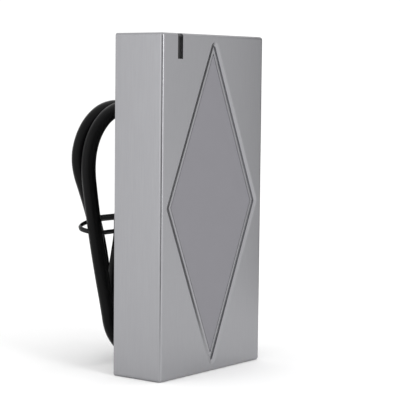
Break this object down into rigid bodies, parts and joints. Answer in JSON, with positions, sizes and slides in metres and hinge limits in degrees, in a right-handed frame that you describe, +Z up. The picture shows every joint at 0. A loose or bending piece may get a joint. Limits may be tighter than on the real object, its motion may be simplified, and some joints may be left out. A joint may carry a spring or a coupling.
{
  "type": "card reader",
  "caption": "Upright wall-mounted proximity card reader: metal housing, diamond radio window, light strip, rear bracket, and a tied hank of black cable with bare leads.",
  "frame": {"origin": "middle of the housing's lower end, on which the reader stands", "axes": "+X right seen from the front, +Y from the front face towards the wall, +Z up"},
  "size_m": [0.104, 0.0751, 0.12],
  "materials": {
    "satin_zinc": "satin, fine vertical brushing under clear plating",
    "window_plastic": "fine satin",
    "black_rubber": "matt",
    "smoked_plastic": "polished, smoked",
    "led_red_lens": "clear tinted",
    "led_green_lens": "clear tinted",
    "board_green": "solder mask",
    "natural_nylon": "moulded",
    "enamelled_copper": "enamelled wire",
    "chip_black": "moulded epoxy",
    "plated_can": "drawn can",
    "black_pvc": "satin extruded jacket",
    "zinc_plated_steel": "zinc plated",
    "cover_plastic": "fine spark-eroded texture",
    "bracket_steel": "pressed stainless sheet",
    "stainless_screw": "turned",
    "spring_steel": "drawn wire",
    "tie_plastic": "plastic-coated wire",
    "shrink_sleeve": "heat-shrink",
    "tinned_copper": "solder-tinned strands",
    "lead_red_pvc": "extruded",
    "lead_black_pvc": "extruded",
    "lead_green_pvc": "extruded",
    "lead_white_pvc": "extruded",
    "lead_blue_pvc": "extruded",
    "lead_brown_pvc": "extruded",
    "lead_yellow_pvc": "extruded",
    "lead_grey_pvc": "extruded"
  },
  "bodies": {
    "reader": {"front_housing": "satin_zinc", "diamond_window": "window_plastic", "window_seal": "black_rubber", "light_pipe": "smoked_plastic", "led_red": "led_red_lens", "led_green": "led_green_lens", "circuit_board": "board_green", "coil_former": "natural_nylon", "antenna_coil": "enamelled_copper", "microcontroller": "chip_black", "radio_chip": "chip_black", "voltage_regulator": "chip_black", "crystal": "plated_can", "capacitors": "plated_can", "chip_resistors": "chip_black", "buzzer": "chip_black", "board_header": "natural_nylon", "lead_plug": "natural_nylon", "inner_leads": "black_pvc", "board_screws": "zinc_plated_steel", "back_cover": "cover_plastic", "cover_seal": "black_rubber", "cover_screws": "zinc_plated_steel", "wall_bracket": "bracket_steel", "bracket_nut": "zinc_plated_steel", "tamper_switch": "chip_black", "tamper_spring": "spring_steel", "cable_grommet": "black_rubber", "cable_entry": "black_pvc", "cable_lead_in": "black_pvc", "cable_hank": "black_pvc", "cable_tail": "black_pvc", "twist_tie": "tie_plastic", "end_sleeve": "shrink_sleeve", "lead_tips": "tinned_copper", "lead_red": "lead_red_pvc", "lead_black": "lead_black_pvc", "lead_green": "lead_green_pvc", "lead_white": "lead_white_pvc", "lead_blue": "lead_blue_pvc", "lead_brown": "lead_brown_pvc", "lead_yellow": "lead_yellow_pvc", "lead_grey": "lead_grey_pvc"},
    "lock_seal": {"screw_seal": "black_rubber"},
    "lock_screw": {"locking_screw": "stainless_screw"},
    "tamper": {"tamper_plunger": "natural_nylon"}
  },
  "joints": [
    {"name": "lock_travel", "type": "slide", "parent": "reader", "child": "lock_seal", "axis": [0, 0, -1], "range_m": [0, 0.0045]},
    {"name": "lock_turn", "type": "hinge", "parent": "lock_seal", "child": "lock_screw", "pos_m": [0, 0.005, 0], "axis": [0, 0, -1], "range_deg": [0, 3241]},
    {"name": "tamper_press", "type": "slide", "parent": "reader", "child": "tamper", "axis": [0, -1, 0], "range_m": [0, 0.0015], "stiffness_N_per_m": 400, "springref_m": -0.001, "deforming": ["tamper_spring"]}
  ],
  "couplings": [
    {"joint": "lock_turn", "follows": "lock_travel", "rad_per_m": 12566}
  ]
}
